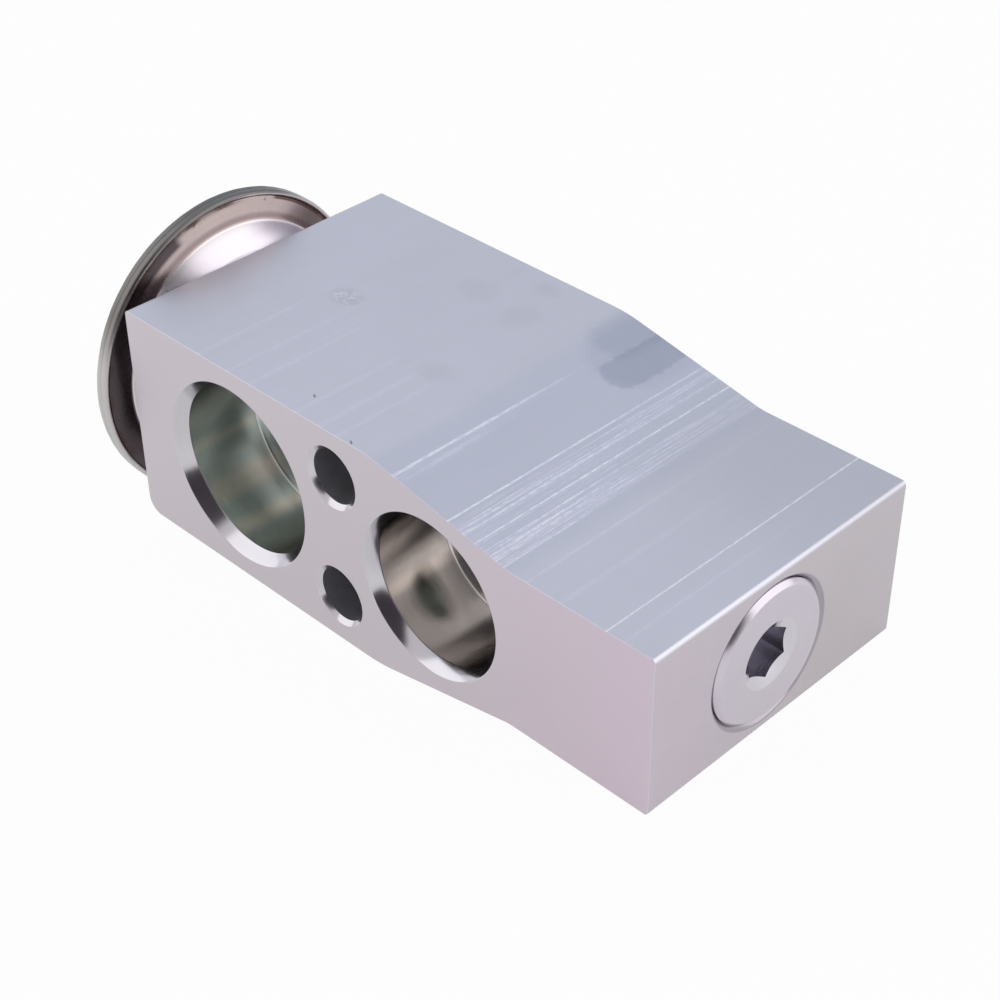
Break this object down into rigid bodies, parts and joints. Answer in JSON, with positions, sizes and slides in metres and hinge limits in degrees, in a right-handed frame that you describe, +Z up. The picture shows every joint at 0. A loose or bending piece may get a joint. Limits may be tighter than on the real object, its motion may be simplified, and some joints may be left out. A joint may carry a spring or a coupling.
{
  "type": "block expansion valve",
  "caption": "Block-type refrigerant expansion valve: machined aluminium block with pipe ports and bolt holes, a round power head at one end and a hexagon-socket adjusting screw at the other.",
  "frame": {"origin": "middle of the two mounting holes on the front connection face", "axes": "+X along the valve axis from the power head to the adjusting screw, +Y from the front connection face into the block, +Z up, across the holes"},
  "size_m": [0.0808, 0.0371, 0.0356],
  "materials": {
    "block": "machined and extruded, satin",
    "shell": "pressed stainless steel, heat-tinted by the weld",
    "diaphragm": "thin stainless foil",
    "plate": "turned",
    "steel": "turned or ground steel",
    "spring": "drawn spring wire",
    "rod": "turned",
    "resin": "moulded",
    "rubber": "moulded",
    "screw": "turned"
  },
  "bodies": {
    "block": {"valve_body": "block", "head_lower_shell": "shell", "head_upper_shell": "shell", "diaphragm": "diaphragm", "charge_plug": "steel", "head_seal": "rubber", "rod_seal": "rubber", "backup_washer": "steel", "push_nut": "spring", "orifice_seat": "steel", "valve_spring": "spring"},
    "valve_train": {"stop_plate": "plate", "sensing_rod": "rod", "rod_sleeve": "resin", "push_pin": "steel", "valve_ball": "steel", "ball_carrier": "steel", "damping_ring": "spring"},
    "screw_seal": {"screw_seal": "rubber"},
    "adjusting_screw": {"adjusting_screw": "screw"}
  },
  "joints": [
    {"name": "valve_lift", "type": "slide", "parent": "block", "child": "valve_train", "axis": [1, 0, 0], "range_m": [0, 0.0007], "stiffness_N_per_m": 8000, "deforming": ["valve_spring", "diaphragm"]},
    {"name": "screw_travel", "type": "slide", "parent": "block", "child": "screw_seal", "axis": [1, 0, 0], "range_m": [-0.002, 0.001], "deforming": ["valve_spring"]},
    {"name": "screw_turn", "type": "hinge", "parent": "screw_seal", "child": "adjusting_screw", "pos_m": [0.0405, 0.016, 0], "axis": [1, 0, 0], "range_deg": [-720, 360]}
  ],
  "couplings": [
    {"joint": "screw_travel", "follows": "screw_turn", "m_per_rad": 0.00015915}
  ]
}
